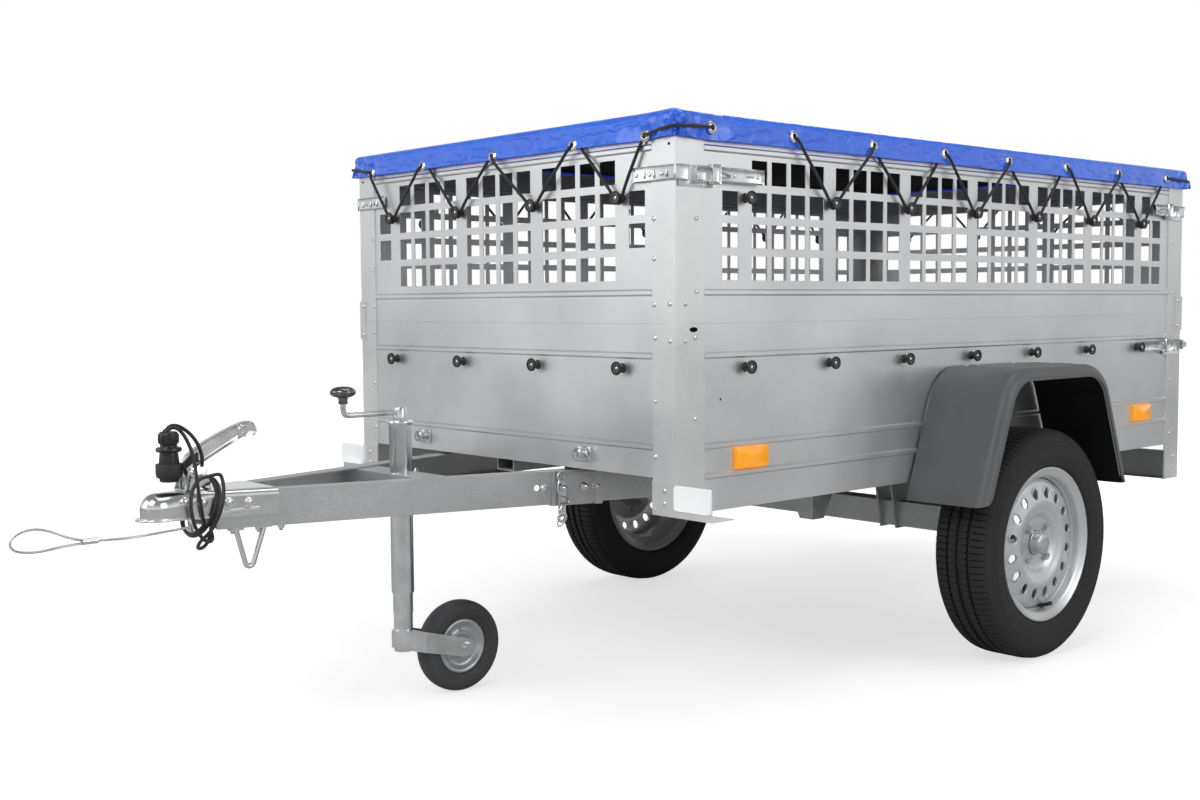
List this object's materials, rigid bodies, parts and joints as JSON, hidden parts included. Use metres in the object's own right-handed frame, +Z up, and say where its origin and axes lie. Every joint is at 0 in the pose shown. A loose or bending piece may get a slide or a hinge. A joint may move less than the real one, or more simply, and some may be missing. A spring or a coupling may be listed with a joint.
{
  "type": "utility trailer",
  "caption": "Galvanised box trailer with a mesh extension under a laced cover, a tilting V drawbar with a ball coupling, and a cranked jockey wheel.",
  "frame": {"origin": "on the ground, midway between the coupling's nose and the rearmost knob, on the centreline", "axes": "+X towards the coupling, +Y to the trailer's left, +Z up"},
  "size_m": [3.1783, 1.534, 1.219],
  "materials": {
    "birch_plywood": "film-faced plywood",
    "galvanised_steel": "spangled zinc, satin",
    "black_plastic": "satin plastic",
    "blue_cover": "coated cloth, semi-gloss",
    "bright_zinc": "bright zinc plate",
    "white_reflector": "prismatic plastic",
    "amber_reflector": "prismatic plastic",
    "red_lens": "clear-coated plastic",
    "black_rubber": "moulded rubber",
    "black_paint": "black powder coat",
    "grey_plastic": "grained plastic",
    "black_elastic": "braided elastic",
    "tyre_rubber": "tyre rubber",
    "silver_paint": "silver lacquer"
  },
  "bodies": {
    "box": {"load_floor": "birch_plywood", "side_panel_left": "galvanised_steel", "side_panel_right": "galvanised_steel", "front_panel": "galvanised_steel", "corner_posts": "galvanised_steel", "extension_posts": "galvanised_steel", "post_joiners": "galvanised_steel", "mesh_panel_left": "galvanised_steel", "mesh_panel_right": "galvanised_steel", "mesh_panel_front": "galvanised_steel", "mesh_panel_rear": "galvanised_steel", "lace_knobs": "black_plastic", "tarpaulin": "blue_cover", "corner_latches": "bright_zinc", "marker_brackets": "galvanised_steel", "white_reflectors": "white_reflector", "side_reflectors": "amber_reflector", "lamp_bar": "galvanised_steel", "rear_lamps": "red_lens", "rear_buffers": "black_rubber", "underframe": "galvanised_steel", "axle_beam": "galvanised_steel", "swing_arms": "black_paint", "mudguard_left": "grey_plastic", "mudguard_right": "grey_plastic", "tilt_hinge_brackets": "galvanised_steel", "tilt_lock_hooks": "bright_zinc", "elastic_lacing": "black_elastic", "cover_skirt": "blue_cover"},
    "left_wheel": {"tyre_left": "tyre_rubber", "rim_left": "silver_paint", "hub_left": "black_paint"},
    "right_wheel": {"tyre_right": "tyre_rubber", "rim_right": "silver_paint", "hub_right": "black_paint"},
    "drawbar": {"drawbar_arm_left": "galvanised_steel", "drawbar_arm_right": "galvanised_steel", "drawbar_crossbar": "galvanised_steel", "arm_brackets": "galvanised_steel", "tilt_lock_straps": "bright_zinc", "coupling_housing": "bright_zinc", "coupling_handle": "bright_zinc", "plug_holder": "black_plastic", "connector_plug": "black_plastic", "cable_front": "black_rubber", "cable_coil": "black_rubber", "safety_rope": "bright_zinc", "support_hook": "bright_zinc", "jack_tube": "bright_zinc", "jack_crank": "bright_zinc", "cable_rear": "black_rubber", "cable_loop": "black_rubber", "rope_ferrule": "bright_zinc", "rope_loop": "bright_zinc"},
    "jack_slider": {"jack_stem": "bright_zinc"},
    "caster_fork": {"jockey_fork": "bright_zinc"},
    "caster_wheel": {"jockey_tyre": "black_rubber", "jockey_rim": "black_plastic"},
    "tailgate": {"tailgate_panel": "galvanised_steel", "tailgate_knobs": "black_plastic"}
  },
  "joints": [
    {"name": "left_wheel_spin", "type": "hinge", "parent": "box", "child": "left_wheel", "pos_m": [-0.4405, 0.671, 0.2735], "axis": [0, 1, 0], "continuous": true},
    {"name": "right_wheel_spin", "type": "hinge", "parent": "box", "child": "right_wheel", "pos_m": [-0.4405, -0.671, 0.2735], "axis": [0, 1, 0], "continuous": true},
    {"name": "drawbar_tilt", "type": "hinge", "parent": "box", "child": "drawbar", "pos_m": [0.0505, 0, 0.462], "axis": [0, 1, 0], "range_deg": [0, 25]},
    {"name": "jack_slide", "type": "slide", "parent": "drawbar", "child": "jack_slider", "axis": [0, 0, 1], "range_m": [-0.15, 0.028]},
    {"name": "caster_swivel", "type": "hinge", "parent": "jack_slider", "child": "caster_fork", "pos_m": [0.8835, 0, 0.15], "axis": [0, 0, 1], "continuous": true},
    {"name": "caster_wheel_spin", "type": "hinge", "parent": "caster_fork", "child": "caster_wheel", "pos_m": [0.7405, 0, 0.1], "axis": [0, 1, 0], "continuous": true},
    {"name": "tailgate_hinge", "type": "hinge", "parent": "box", "child": "tailgate", "pos_m": [-1.4435, 0, 0.497], "axis": [0, -1, 0], "range_deg": [0, 175]}
  ]
}
